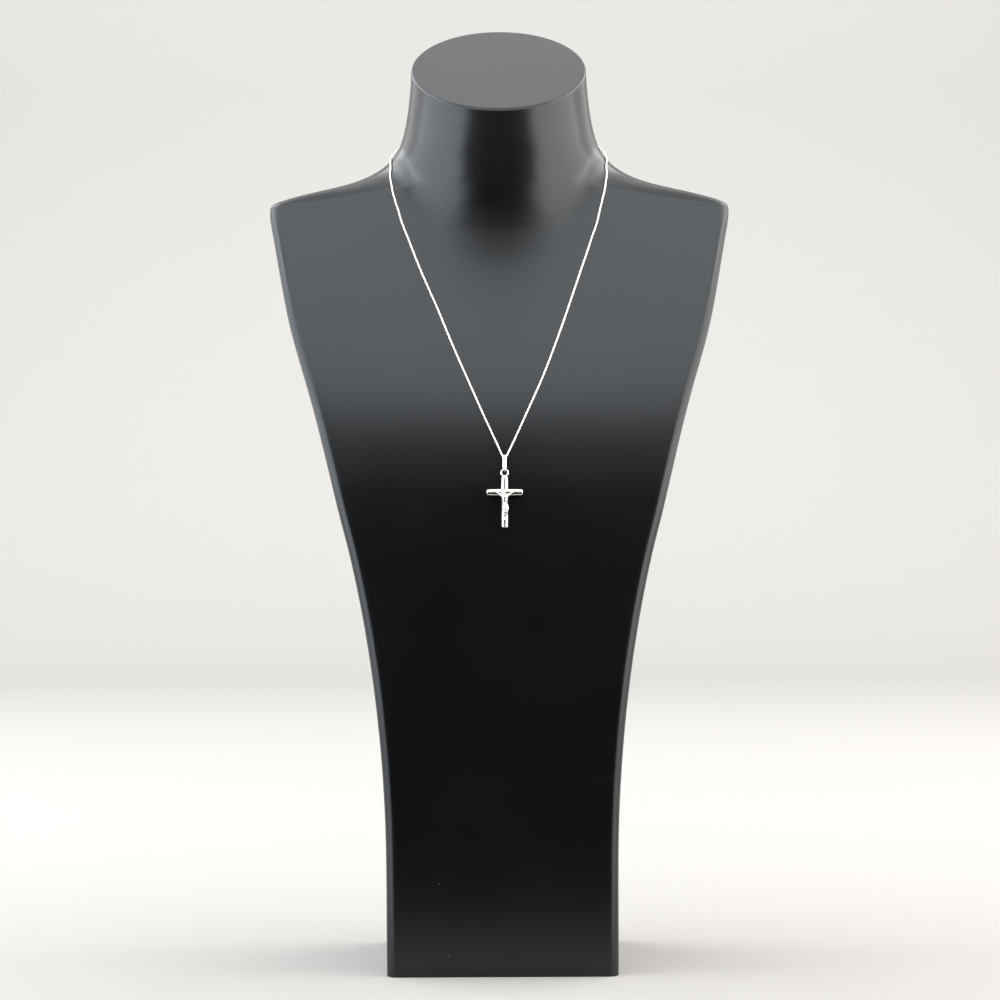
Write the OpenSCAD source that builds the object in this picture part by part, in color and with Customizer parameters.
/* [Display bust] */
// Height of the shoulder points above the table
shoulder_h = 377; // [350:1:395]
// Height of the middle of the neck's slanted top above the shoulders
neck_rise = 70.3; // [60:1:90]
// Width of the foot
base_w = 114; // [100:1:140]
// Depth of the foot, front to back
base_d = 112; // [104:1:122]
// Width across the shoulders
shoulder_w = 229; // [210:1:250]
// Depth of the shoulders, front to back
shoulder_d = 64; // [58:1:72]
// How far the shoulders' back lies in front of the foot's back
back_lean = 6; // [2:1:12]
// Width of the neck at its top
neck_w = 88; // [80:1:94]
// Depth of the neck, front to back
neck_d = 76; // [70:1:80]
// Slope of the neck's top, which is higher at the back, in degrees
neck_slant = 30.5; // [24:0.5:33]
// Rounding of the upright edges
edge_r = 5; // [3:0.5:8]
// Width of the neck's root, where it meets the chest
root_w = 98; // [80:120]
// Size of the soft hollow between the neck's root and the chest
root_blend = 13; // [4:24]

/* [Chain] */
// Thickness of the chain
chain_d = 1.1; // [1:0.1:1.4]
// Gap between the chain and the bust
chain_gap = 0.35; // [0.35:0.05:0.5]
// Radius of the chain's bend below the bail
chain_bend = 0.7; // [0.7:0.05:1]

/* [Clasp] */
// Outer diameter of the clasp's ring
clasp_d = 5.8; // [5:0.2:7]
// Wire of the clasp's ring
clasp_wire = 1.2; // [1:0.1:1.4]
// Outer diameter of the clasp's eyelet
eyelet_d = 2.6; // [2.2:0.2:3]
// Wire of the clasp's eyelet
eyelet_wire = 0.7; // [0.5:0.1:0.8]

/* [Bail] */
// Height of the bail
bail_h = 8.8; // [8:0.1:11]
// Width of the bail's strip along its straight sides, seen from the front
bail_w = 1.8; // [1.5:0.1:2]
// Width of the bail at its top
bail_top_w = 1.3; // [1.1:0.1:1.5]
// Width of the bail at its lower end
bail_low_w = 0.8; // [0.6:0.1:0.9]
// Thickness of the bail's strip
bail_t = 0.7; // [0.6:0.05:0.8]
// Clear depth inside the bail, front to back
bail_inner = 1.7; // [1.6:0.1:2]

/* [Cross] */
// Height of the cross without its ring
cross_h = 25; // [22:0.5:30]
// Width of the cross
cross_w = 17.5; // [16:0.1:22]
// Thickness of the round bars
bar_d = 3.2; // [2.8:0.1:3.4]
// Rounding at the ends of the bars
bar_round = 0.5; // [0.3:0.1:0.8]
// Distance from the top of the cross down to the middle of the crossbar
arm_drop = 7.8; // [6.5:0.1:9]
// Wire of the ring
ring_wire = 0.9; // [0.8:0.05:1.2]
// Hole of the ring
ring_hole = 2.4; // [2.3:0.1:2.8]

/* [Figure] */
// Height of the figure from the crown of the head to the toes
figure_h = 15.2; // [13:0.2:16]

/* [Pendant] */
// Sideways place of the pendant from the bust's middle line
pendant_x = 2; // [-4:0.1:4]
// Distance from the shoulders down to the chain's lowest point
pendant_drop = 122.7; // [115:0.1:132]
// Lean of the pendant against the chest, in degrees
pendant_lean = 5; // [4:0.5:8]
// Gap between the pendant and the bust
pendant_gap = 0.3; // [0.3:0.05:0.6]
// Play between the chain, the bail and the ring where they hang in one another
link_gap = 0.12; // [0.1:0.01:0.15]

/* [Hidden] */
$fn = 32;

// Height of the middle of the neck's top above the table
neck_h = shoulder_h + neck_rise;
// How far the shoulders' front lies behind the foot's front
chest_lean = base_d - shoulder_d - back_lean;

// Columns of the bust's rows. UP: share of the height of the torso, or of the neck above it.
// SPREAD: 0 is the foot's or the neck's width, 1 is the shoulders'. LEAN: share of chest_lean.
// THIN: 0 is the foot's or the neck's depth, 1 is the shoulders'. OVAL: 0 is a rounded box, 1 an oval.
// CROWN: how far the front falls away at the sides, as a share of the depth.
// SLANT: share of neck_slant.
// The neck itself is an oval column in front of these rows, blended with them by root_blend.
UP = 0;
SPREAD = 1;
LEAN = 2;
THIN = 3;
OVAL = 4;
CROWN = 5;
SLANT = 6;
TORSO = [
    [0.000, 0.000,  0.000, 0.00, 0.00, 0.000, 0],
    [0.150, 0.000, -0.015, 0.00, 0.00, 0.000, 0],
    [0.250, 0.021, -0.028, 0.00, 0.00, 0.000, 0],
    [0.350, 0.076, -0.040, 0.00, 0.00, 0.000, 0],
    [0.450, 0.167, -0.048, 0.00, 0.00, 0.010, 0],
    [0.550, 0.298, -0.045, 0.01, 0.00, 0.020, 0],
    [0.600, 0.384, -0.025, 0.03, 0.00, 0.025, 0],
    [0.650, 0.462,  0.010, 0.07, 0.00, 0.030, 0],
    [0.750, 0.628,  0.180, 0.24, 0.00, 0.040, 0],
    [0.840, 0.808,  0.430, 0.48, 0.00, 0.050, 0],
    [0.910, 0.902,  0.660, 0.70, 0.00, 0.060, 0],
    [0.965, 0.970,  0.860, 0.89, 0.00, 0.080, 0],
    [0.990, 1.000,  0.960, 0.97, 0.00, 0.090, 0],
];
NECK = [
    [0.000, 1.000, 1.000, 1.00, 0.00, 0.10, 0.00],
    [0.017, 0.996, 1.012, 1.04, 0.00, 0.10, 0.00],
    [0.040, 0.972, 1.026, 1.09, 0.01, 0.10, 0.00],
    [0.085, 0.846, 1.048, 1.17, 0.06, 0.10, 0.00],
    [0.130, 0.674, 1.062, 1.22, 0.16, 0.09, 0.00],
    [0.180, 0.466, 1.068, 1.24, 0.36, 0.08, 0.00],
    [0.225, 0.344, 1.066, 1.23, 0.56, 0.06, 0.00],
    [0.270, 0.258, 1.056, 1.19, 0.74, 0.04, 0.00],
    [0.315, 0.194, 1.040, 1.14, 0.87, 0.02, 0.00],
    [0.360, 0.146, 1.024, 1.09, 0.95, 0.01, 0.01],
    [0.445, 0.092, 1.006, 1.03, 1.00, 0.00, 0.08],
    [0.490, 0.073, 1.002, 1.01, 1.00, 0.00, 0.14],
    [0.575, 0.048, 1.000, 1.00, 1.00, 0.00, 0.29],
    [0.660, 0.032, 1.000, 1.00, 1.00, 0.00, 0.47],
    [0.745, 0.020, 1.000, 1.00, 1.00, 0.00, 0.65],
    [0.830, 0.011, 1.000, 1.00, 1.00, 0.00, 0.81],
    [0.915, 0.004, 1.000, 1.00, 1.00, 0.00, 0.93],
    [1.000, 0.000, 1.000, 1.00, 1.00, 0.00, 1.00],
];
// How far the neck's front lies behind the foot's front, as a share of chest_lean
NECK_LEAN = 0.70;
// How softly the neck's flare runs into its root's full width
FLARE_BLEND = 4;
// Places along a quarter of a section, from the middle of the front to the middle of the side.
// The flat ends at FLAT_END, and the rounded upright edge ends at EDGE_END.
FLAT_END = 0.6;
EDGE_END = 0.85;
QUARTER = [0, 0.08, 0.16, 0.22, 0.27, 0.32, 0.37, 0.42, 0.48, 0.54, 0.6, 0.66, 0.73, 0.79, 0.85, 0.92];

// Columns of the chain's rows, from above the bail to the nape.
// RISE: height as a share of shoulder_h, or where it is over 1, 1 and a share of neck_rise.
// LEFT and RIGHT: place round the bust, where 0 is the middle of the front, 1 the middle of the
// side and 2 the middle of the back.
RISE = 0;
LEFT = 1;
RIGHT = 2;
CHAIN_ROUTE = [
    [0.696, 0.018, 0.049],
    [0.732, 0.061, 0.091],
    [0.775, 0.105, 0.135],
    [0.817, 0.143, 0.167],
    [0.865, 0.181, 0.199],
    [0.912, 0.220, 0.228],
    [0.960, 0.253, 0.256],
    [0.998, 0.275, 0.274],
    [1.051, 0.292, 0.289],
    [1.108, 0.343, 0.339],
    [1.150, 0.403, 0.398],
    [1.194, 0.488, 0.480],
    [1.252, 0.596, 0.586],
    [1.311, 0.745, 0.727],
    [1.376, 0.960, 0.940],
    [1.430, 1.080, 1.080],
    [1.475, 1.260, 1.260],
    [1.502, 1.500, 1.500],
    [1.522, 1.760, 1.760],
];
// The clasp's height, given as RISE is
nape_rise = 1.530;
function height_of(rise) = shoulder_h * min(rise, 1) + neck_rise * max(rise - 1, 0);

// Columns of the figure's sections. ACROSS, OUT of the crest of the bars and ALONG the upright
// from the crossbar's middle, then half the WIDTH and half the DEPTH, all as shares of figure_h.
ACROSS = 0;
OUT = 1;
ALONG = 2;
WIDTH = 3;
DEPTH = 4;
BODY = [
    [-0.050, 0.070,  0.100, 0.014, 0.018],
    [-0.050, 0.072,  0.087, 0.035, 0.044],
    [-0.046, 0.075,  0.055, 0.046, 0.055],
    [-0.040, 0.076,  0.018, 0.044, 0.052],
    [-0.033, 0.074, -0.016, 0.035, 0.043],
    [-0.026, 0.062, -0.044, 0.027, 0.038],
    [-0.015, 0.036, -0.072, 0.027, 0.040],
    [-0.006, 0.024, -0.100, 0.045, 0.052],
    [ 0.000, 0.022, -0.132, 0.084, 0.064],
    [ 0.002, 0.026, -0.180, 0.090, 0.074],
    [ 0.004, 0.026, -0.240, 0.084, 0.076],
    [ 0.008, 0.016, -0.310, 0.066, 0.068],
    [ 0.010, 0.016, -0.372, 0.066, 0.068],
    [ 0.012, 0.020, -0.380, 0.080, 0.076],
    [ 0.012, 0.024, -0.450, 0.090, 0.080],
    [ 0.014, 0.032, -0.530, 0.088, 0.080],
    [ 0.018, 0.042, -0.590, 0.080, 0.074],
];
FRONT_LEG = [
    [-0.018, 0.036, -0.555, 0.042, 0.060],
    [-0.012, 0.062, -0.625, 0.038, 0.056],
    [-0.010, 0.052, -0.670, 0.032, 0.054],
    [-0.008, 0.030, -0.730, 0.031, 0.052],
    [-0.006, 0.016, -0.800, 0.022, 0.044],
    [-0.004, 0.026, -0.850, 0.026, 0.044],
    [-0.002, 0.040, -0.900, 0.018, 0.022],
];
BACK_LEG = [
    [ 0.056, 0.034, -0.555, 0.042, 0.060],
    [ 0.062, 0.054, -0.615, 0.038, 0.056],
    [ 0.060, 0.044, -0.660, 0.032, 0.054],
    [ 0.048, 0.020, -0.720, 0.031, 0.052],
    [ 0.032, 0.004, -0.790, 0.022, 0.044],
    [ 0.024, 0.000, -0.840, 0.026, 0.044],
    [ 0.016, 0.004, -0.880, 0.020, 0.026],
];
CLOTH_KNOT = [
    [ 0.086, 0.030, -0.385, 0.016, 0.024],
    [ 0.108, 0.026, -0.420, 0.034, 0.044],
    [ 0.114, 0.010, -0.490, 0.026, 0.046],
    [ 0.110, -0.010, -0.560, 0.012, 0.024],
];
// One arm, from inside the breast to the finger tips, where WIDTH is half the thickness
ARM = [
    [ 0.045, 0.024, -0.150, 0.045],
    [ 0.095, 0.028, -0.136, 0.041],
    [ 0.150, 0.024, -0.096, 0.032],
    [ 0.205, 0.018, -0.052, 0.028],
    [ 0.260, 0.014, -0.012, 0.027],
    [ 0.315, 0.008,  0.025, 0.020],
    [ 0.345, 0.006,  0.044, 0.024],
    [ 0.375, 0.002,  0.058, 0.014],
];
FIGURE_SIDES = 12;
ARM_SIDES = 10;

SILVER = [0.85, 0.85, 0.83];
BLACK = [0.06, 0.06, 0.07];

// One row as lengths, with the height, half the width, the front and the back in its first columns
HEIGHT = 0;
HALF = 1;
FRONT = 2;
BACK = 3;
function bust_row(r, low, high, width, depth) =
    let (front = -base_d / 2 + chest_lean * r[LEAN])
    let (deep = depth + (shoulder_d - depth) * r[THIN])
    [
        low + (high - low) * r[UP],
        (width + (shoulder_w - width) * r[SPREAD]) / 2,
        front,
        front + deep,
        r[OVAL],
        r[CROWN] * deep,
        r[SLANT],
    ];

BUST = concat(
    [for (r = TORSO) bust_row(r, 0, shoulder_h, base_w, base_d)],
    [for (r = NECK) bust_row(r, shoulder_h, neck_h, neck_w, neck_d)]
);
TOP_ROW = len(BUST) - 1;

// A smooth curve through the rows that doesn't swing past them
function secant(i, c) = (BUST[i + 1][c] - BUST[i][c]) / (BUST[i + 1][HEIGHT] - BUST[i][HEIGHT]);
function slope_at(i, c) =
    i == 0 ? 0 :
    i == TOP_ROW ? secant(i - 1, c) :
        let (below = secant(i - 1, c))
        let (above = secant(i, c))
        let (share = (BUST[i + 1][HEIGHT] - BUST[i][HEIGHT]) / (BUST[i + 1][HEIGHT] - BUST[i - 1][HEIGHT]))
        below * above <= 0 ? 0 : share * below + (1 - share) * above;
function row_below(z, i = 0) =
    i == TOP_ROW - 1 || BUST[i + 1][HEIGHT] > z ? i : row_below(z, i + 1);
function row_at(z) =
    let (i = row_below(z))
    let (h = BUST[i + 1][HEIGHT] - BUST[i][HEIGHT])
    let (t = (z - BUST[i][HEIGHT]) / h)
    [
        for (c = [HEIGHT : SLANT])
            c == HEIGHT ? z :
                (2 * t ^ 3 - 3 * t ^ 2 + 1) * BUST[i][c]
                + (t ^ 3 - 2 * t ^ 2 + t) * h * slope_at(i, c)
                + (3 * t ^ 2 - 2 * t ^ 3) * BUST[i + 1][c]
                + (t ^ 3 - t ^ 2) * h * slope_at(i + 1, c)
    ];

// Offset sideways and from the section's middle, for a place t along a quarter of a section
function box_quarter(t, a, b) =
    t < FLAT_END ? [(a - edge_r) * t / FLAT_END, b] :
    t < EDGE_END ?
        let (turn = 90 * (t - FLAT_END) / (EDGE_END - FLAT_END))
        [a - edge_r + edge_r * sin(turn), b - edge_r + edge_r * cos(turn)] :
    [a, (b - edge_r) * (1 - t) / (1 - EDGE_END)];
function quarter(t, a, b, oval) =
    (1 - oval) * box_quarter(t, a, b) + oval * [a * sin(90 * t), b * cos(90 * t)];

// The lesser of two lengths, rounded off where they are within k of each other
function soft_min(a, b, k) = min(a, b) - max(k - abs(a - b), 0) ^ 2 / k / 4;

// Front of the neck's column at a distance x sideways, where the row's half width is a
neck_middle = -base_d / 2 + chest_lean * NECK_LEAN + neck_d / 2;
function neck_front(x, a) =
    let (reach = min(x / soft_min(a, root_w / 2, FLARE_BLEND), 1))
    neck_middle - neck_d / 2 * sqrt(1 - reach ^ 2);

// Point of the bust's surface: place u round it from 0 to 4, on the row that is r
function bust_point(u, r) =
    let (q = floor(u) % 4)
    let (t = [u, 2 - u, u - 2, 4 - u][q])
    let (right = q < 2 ? 1 : -1)
    let (front = q == 0 || q == 3)
    let (middle = (1 - r[OVAL]) * (r[BACK] + r[FRONT]) / 2 + r[OVAL] * neck_middle)
    let (b = front ? middle - r[FRONT] : r[BACK] - middle)
    let (p = quarter(t, r[HALF], b, r[OVAL]))
    let (out = p[0] / r[HALF])
    let (chest = middle - p[1] + r[CROWN] * out ^ 2 * p[1] / b)
    let (blend = root_blend * (1 - out ^ 4))
    let (face = blend > 0 ? soft_min(chest, neck_front(p[0], r[HALF]), blend) : chest)
    let (y = front ? face : middle + p[1])
    [right * p[0], y, r[HEIGHT] + r[SLANT] * tan(neck_slant) * (y - middle)];

function cross_of(a, b) =
    [a[1] * b[2] - a[2] * b[1], a[2] * b[0] - a[0] * b[2], a[0] * b[1] - a[1] * b[0]];
function unit(v) = v / norm(v);

// Point that lies a distance off the bust's surface, at place u and height z
STEP = 0.01;
function off_bust(u, z, off) =
    let (round_step = bust_point(u + STEP, row_at(z)) - bust_point(u, row_at(z)))
    let (up_step = bust_point(u, row_at(z + STEP)) - bust_point(u, row_at(z)))
    bust_point(u, row_at(z)) + off * unit(cross_of(round_step, up_step));

// The chest's front on the pendant's line, at height z
function chest_y(z) = bust_point(0, row_at(z))[1];

pendant_z = shoulder_h - pendant_drop;
// Places of the pendant's parts below the chain's lowest point, along the pendant
bail_top = chain_d / 2 + link_gap + bail_t;
bail_depth = bail_inner + 2 * bail_t;
bail_foot = bail_top - bail_h + bail_t / 2;
// The ring hangs on the lower corners of the bail's strip, a little more than link_gap away
corner_gap = 1.3 * link_gap;
ring_drop = sqrt((ring_hole / 2 - corner_gap) ^ 2 - (bail_low_w / 2) ^ 2) - bail_t / 2;
ring_z = bail_foot - ring_drop;
ring_r = (ring_hole + ring_wire) / 2;
cross_top = ring_z - ring_r;
crossbar_z = cross_top - arm_drop;
cross_foot = cross_top - cross_h;
// Depth of the pendant's middle plane at the chain, so that its back lies pendant_gap off the chest
SEATS = 12;
pendant_y = min([
    for (i = [0 : SEATS])
        let (s = -cross_foot * i / SEATS)
        chest_y(pendant_z - s * cos(pendant_lean)) - pendant_gap
            - bar_d / 2 / cos(pendant_lean) + s * sin(pendant_lean)
]);
pendant_at = [pendant_x, pendant_y, pendant_z];

module in_pendant_place() {
    translate(pendant_at) rotate([-pendant_lean, 0, 0]) children();
}

module display_bust() {
    heights = [
        for (i = [0 : TOP_ROW])
            let (z = BUST[i][HEIGHT])
            each i == TOP_ROW ? [z] : [z, (z + BUST[i + 1][HEIGHT]) / 2]
    ];
    quarters = len(QUARTER);
    places = [
        for (q = [0 : 3])
            for (k = [0 : quarters - 1])
                q % 2 == 0 ? q + QUARTER[k] : k == 0 ? q : q + 1 - QUARTER[quarters - k]
    ];
    color(BLACK) skin([for (z = heights) let (r = row_at(z)) [for (u = places) bust_point(u, r)]]);
}

// Closed solid through rings of points that go anticlockwise, seen from the last ring's end
module skin(rings) {
    n = len(rings[0]);
    last = (len(rings) - 1) * n;
    start_middle = last + n;
    end_middle = start_middle + 1;
    faces = [
        for (i = [0 : n - 1])
            let (j = (i + 1) % n)
            each concat(
                [[start_middle, i, j], [end_middle, last + j, last + i]],
                [for (k = [0 : n : last - n]) [k + i, k + n + i, k + n + j]],
                [for (k = [0 : n : last - n]) [k + i, k + n + j, k + j]]
            )
    ];
    points = [for (ring = rings) each ring];
    polyhedron(concat(points, [middle_of(rings[0]), middle_of(rings[len(rings) - 1])]), faces);
}
function middle_of(ring) = [for (p = ring) 1] * ring / len(ring);

// Point between p1 and p2 on a smooth curve through four points
function smooth_between(p0, p1, p2, p3, t) =
    0.5 * (2 * p1 + (p2 - p0) * t + (2 * p0 - 5 * p1 + 4 * p2 - p3) * t ^ 2
        + (3 * p1 - p0 - 3 * p2 + p3) * t ^ 3);

CHAIN_SIDES = 8;
// Directions of the chain's bend out of the bail, in degrees above the level
BENDS = [0, 35, 65];
chain_off = chain_d / 2 + chain_gap;
nape_z = height_of(nape_rise);
nape_row = row_at(nape_z);
clasp_at = off_bust(2, nape_z, clasp_wire / 2 + chain_gap);
// Place round the bust of a point of the nape that lies a distance x sideways
function nape_place(x) = 2 - asin(x / nape_row[HALF]) / 90;

// Half of the chain, from the bail over the shoulder to the nape, as if both halves went to the right
function half_chain(side, bail_x, end_x) =
    let (end = [nape_rise, nape_place(end_x), nape_place(end_x)])
    let (rows = concat(CHAIN_ROUTE, [end]))
    let (last = len(rows) - 1)
    let (spots = [
        for (i = [0 : last])
            each i == last ? [rows[i]] : [
                rows[i],
                smooth_between(rows[max(i - 1, 0)], rows[i], rows[i + 1], rows[min(i + 2, last)], 0.5),
            ]
    ])
    let (bail_side = bail_x + bail_top_w / 2 + link_gap)
    let (bail_y = pendant_at[1])
    concat(
        [
            for (b = BENDS)
                [bail_side + chain_bend * sin(b), bail_y, pendant_z + chain_bend * (1 - cos(b))]
        ],
        [for (r = spots) off_bust(r[side], height_of(r[RISE]), chain_off)]
    );

module chain() {
    right = half_chain(RIGHT, pendant_x, clasp_d / 2 + link_gap);
    left = half_chain(LEFT, -pendant_x, eyelet_x + eyelet_d / 2 + link_gap);
    line = concat([for (i = [len(left) - 1 : -1 : 0]) flip(left[i])], right);
    color(SILVER) tube(line, [for (p = line) chain_d / 2], CHAIN_SIDES);
}
function flip(p) = [-p[0], p[1], p[2]];

// Round tube along a line that is nowhere upright, with a radius at each point
module tube(line, radii, sides) {
    last = len(line) - 1;
    rings = [
        for (i = [0 : last])
            let (ahead = unit(line[min(i + 1, last)] - line[max(i - 1, 0)]))
            let (across = unit(cross_of(ahead, [0, 0, 1])))
            let (up = cross_of(across, ahead))
            [
                for (k = [0 : sides - 1])
                    let (turn = 360 * k / sides)
                    line[i] + radii[i] * (cos(turn) * across + sin(turn) * up)
            ]
    ];
    skin([for (i = [last : -1 : 0]) rings[i]]);
}

module ring(outer_d, wire) {
    rotate([90, 0, 0])
        rotate_extrude()
            translate([(outer_d - wire) / 2, 0]) circle(d = wire);
}

// Distance from the middle of the clasp's ring to its eyelet's, so that their wires are soldered
eyelet_x = (clasp_d + eyelet_d - eyelet_wire) / 2;

module clasp() {
    color(SILVER)
        translate(clasp_at) {
            ring(clasp_d, clasp_wire);
            translate([-eyelet_x, 0, 0]) ring(eyelet_d, eyelet_wire);
        }
}

// Outline with two straight sides and two round ends, with its top at the origin
module long_round(width, height) {
    translate([0, -width / 2]) circle(d = width);
    translate([0, width / 2 - height]) circle(d = width);
    translate([-width / 2, width / 2 - height]) square([width, height - width]);
}

// The bail's outline from the front, narrow at its top and where it lies in the ring
module bail_front() {
    widths = [
        [bail_top, bail_top_w],
        [bail_top - bail_depth / 2, bail_w],
        [bail_top - bail_h + bail_inner + bail_t, bail_w],
        [bail_top - bail_h + bail_t, bail_low_w],
        [bail_top - bail_h, bail_low_w],
    ];
    polygon(concat(
        [for (w = widths) [w[1] / 2, w[0]]],
        [for (i = [len(widths) - 1 : -1 : 0]) [-widths[i][1] / 2, widths[i][0]]]
    ));
}

module bail() {
    color(SILVER)
        in_pendant_place()
            intersection() {
                rotate([90, 0, 90])
                    translate([0, bail_top, -bail_w])
                        linear_extrude(2 * bail_w)
                            difference() {
                                long_round(bail_depth, bail_h);
                                translate([0, -bail_t]) long_round(bail_inner, bail_h - 2 * bail_t);
                            }
                rotate([90, 0, 0])
                    translate([0, 0, -bail_depth]) linear_extrude(2 * bail_depth) bail_front();
            }
}

// Round bar along Z from z = 0, with rounded ends
module bar(length) {
    r = bar_d / 2;
    rotate_extrude()
        difference() {
            square([r, length]);
            translate([r - bar_round, 0]) corner();
            translate([r - bar_round, length]) mirror([0, 1]) corner();
        }
}

// What a rounded outer corner takes off a square one
module corner() {
    difference() {
        square(bar_round);
        translate([0, bar_round]) circle(r = bar_round);
    }
}

// Limb that runs down the upright, through level oval sections
module limb(rows) {
    skin([
        for (r = rows)
            figure_h * [
                for (k = [0 : FIGURE_SIDES - 1])
                    let (turn = 360 * k / FIGURE_SIDES)
                    [r[ACROSS] + r[WIDTH] * cos(turn), -r[OUT] - r[DEPTH] * sin(turn), r[ALONG]]
            ]
    ]);
}

module arm() {
    line = [for (r = ARM) figure_h * [r[ACROSS], -r[OUT], r[ALONG]]];
    tube(line, [for (r = ARM) figure_h * r[WIDTH]], ARM_SIDES);
}

module figure() {
    limb(BODY);
    limb(FRONT_LEG);
    limb(BACK_LEG);
    limb(CLOTH_KNOT);
    arm();
    mirror([1, 0, 0]) arm();
}

module crucifix() {
    color(SILVER)
        in_pendant_place() {
            translate([0, 0, ring_z]) ring(2 * ring_r + ring_wire, ring_wire);
            translate([0, 0, cross_foot]) bar(cross_h);
            translate([-cross_w / 2, 0, crossbar_z]) rotate([0, 90, 0]) bar(cross_w);
            translate([0, -bar_d / 2, crossbar_z]) figure();
        }
}

display_bust();
chain();
clasp();
bail();
crucifix();
